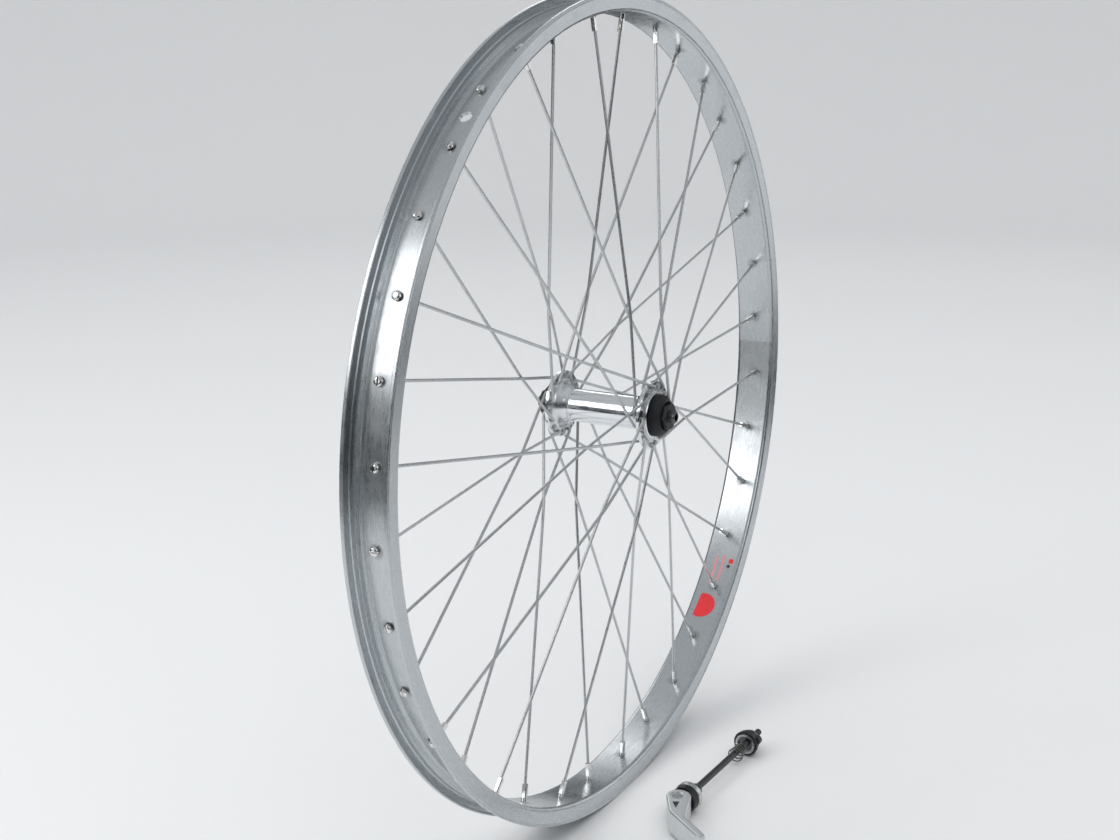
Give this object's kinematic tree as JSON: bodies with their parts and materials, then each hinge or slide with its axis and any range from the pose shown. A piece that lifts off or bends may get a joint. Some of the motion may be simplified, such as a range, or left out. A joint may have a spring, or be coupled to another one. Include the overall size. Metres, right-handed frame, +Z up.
{
  "type": "bicycle front wheel with quick release skewer",
  "caption": "Spoked bicycle front wheel with a hollow quick release axle, cup and cone bearings and a bare rim, its cam lever skewer lying beside it.",
  "frame": {"origin": "the wheel's centre, on the axle's middle", "axes": "+Y along the axle that the wheel spins about, +Z up, the floor is 0.286 below the origin"},
  "size_m": [0.5719, 0.1622, 0.572],
  "materials": {
    "rim_alloy": "satin anodised",
    "hub_alloy": "polished",
    "spoke_steel": "drawn stainless wire",
    "nipple_nickel": "nickel plated",
    "bearing_steel": "ground and hardened",
    "axle_steel": "zinc plated",
    "rod_steel": "dark drawn steel",
    "clamp_steel": "zinc plated",
    "spring_steel": "plain wire",
    "pivot_steel": "turned and plated",
    "lever_alloy": "pale satin",
    "black_plastic": "moulded",
    "nut_black": "satin black",
    "locknut_black": "black oxide",
    "seal_rubber": "smooth moulded"
  },
  "bodies": {
    "axle_set": {"axle": "axle_steel", "cone_left": "bearing_steel", "spacer_left": "axle_steel", "locknut_left": "locknut_black", "seal_left": "seal_rubber", "cone_right": "bearing_steel", "spacer_right": "axle_steel", "locknut_right": "locknut_black", "seal_right": "seal_rubber"},
    "wheel": {"rim": "rim_alloy", "hub_shell": "hub_alloy", "nipples_left": "nipple_nickel", "bearing_cup_left": "bearing_steel", "dust_cap_left": "clamp_steel", "nipples_right": "nipple_nickel", "bearing_cup_right": "bearing_steel", "dust_cap_right": "clamp_steel", "spokes_left_inside": "spoke_steel", "spokes_left_outside": "spoke_steel", "spokes_right_inside": "spoke_steel", "spokes_right_outside": "spoke_steel"},
    "balls_left": {"bearing_balls_left": "bearing_steel"},
    "balls_right": {"bearing_balls_right": "bearing_steel"},
    "skewer": {"skewer_rod": "rod_steel", "cam_pivot": "pivot_steel"},
    "lever": {"cam_lever": "lever_alloy"},
    "clamp_set": {"cam_washer": "black_plastic", "clamp_washer": "clamp_steel"},
    "nut_core": {"nut_insert": "clamp_steel"},
    "nut": {"adjusting_nut": "nut_black"},
    "lever_spring": {"spring_lever_side": "spring_steel"},
    "nut_spring": {"spring_nut_side": "spring_steel"}
  },
  "joints": [
    {"name": "wheel_spin", "type": "hinge", "parent": "axle_set", "child": "wheel", "pos_m": [0, 0, 0], "axis": [0, 1, 0], "continuous": true},
    {"name": "balls_left_spin", "type": "hinge", "parent": "axle_set", "child": "balls_left", "pos_m": [0, 0.033, 0], "axis": [0, 1, 0], "continuous": true},
    {"name": "balls_right_spin", "type": "hinge", "parent": "axle_set", "child": "balls_right", "pos_m": [0, -0.033, 0], "axis": [0, 1, 0], "continuous": true},
    {"name": "skewer_lift", "type": "slide", "parent": "axle_set", "child": "skewer", "axis": [0, 0, 1], "range_m": [0, 0.08]},
    {"name": "lever_turn", "type": "hinge", "parent": "skewer", "child": "lever", "pos_m": [-0.02348, -0.0686, -0.2758], "axis": [0, 0, 1], "range_deg": [-100, 45]},
    {"name": "clamp_slide", "type": "slide", "parent": "skewer", "child": "clamp_set", "axis": [0.9991, -0.0414, 0], "range_m": [-0.0006, 0.0003]},
    {"name": "nut_travel", "type": "slide", "parent": "skewer", "child": "nut_core", "axis": [0.9991, -0.0414, 0], "range_m": [0, 0.016]},
    {"name": "nut_turn", "type": "hinge", "parent": "nut_core", "child": "nut", "pos_m": [0.08772, -0.07321, -0.2758], "axis": [0.9991, -0.0414, 0], "range_deg": [0, 7220]},
    {"name": "lever_spring_slide", "type": "slide", "parent": "skewer", "child": "lever_spring", "axis": [0.9991, -0.0414, 0], "range_m": [0, 0.03]},
    {"name": "nut_spring_slide", "type": "slide", "parent": "skewer", "child": "nut_spring", "axis": [0.9991, -0.0414, 0], "range_m": [-0.02, 0.002]}
  ],
  "couplings": [
    {"joint": "balls_left_spin", "follows": "wheel_spin", "ratio": 0.6},
    {"joint": "balls_right_spin", "follows": "wheel_spin", "ratio": 0.6},
    {"joint": "clamp_slide", "follows": "lever_turn", "m_per_rad": 0.0002979},
    {"joint": "nut_turn", "follows": "nut_travel", "rad_per_m": 7854}
  ]
}
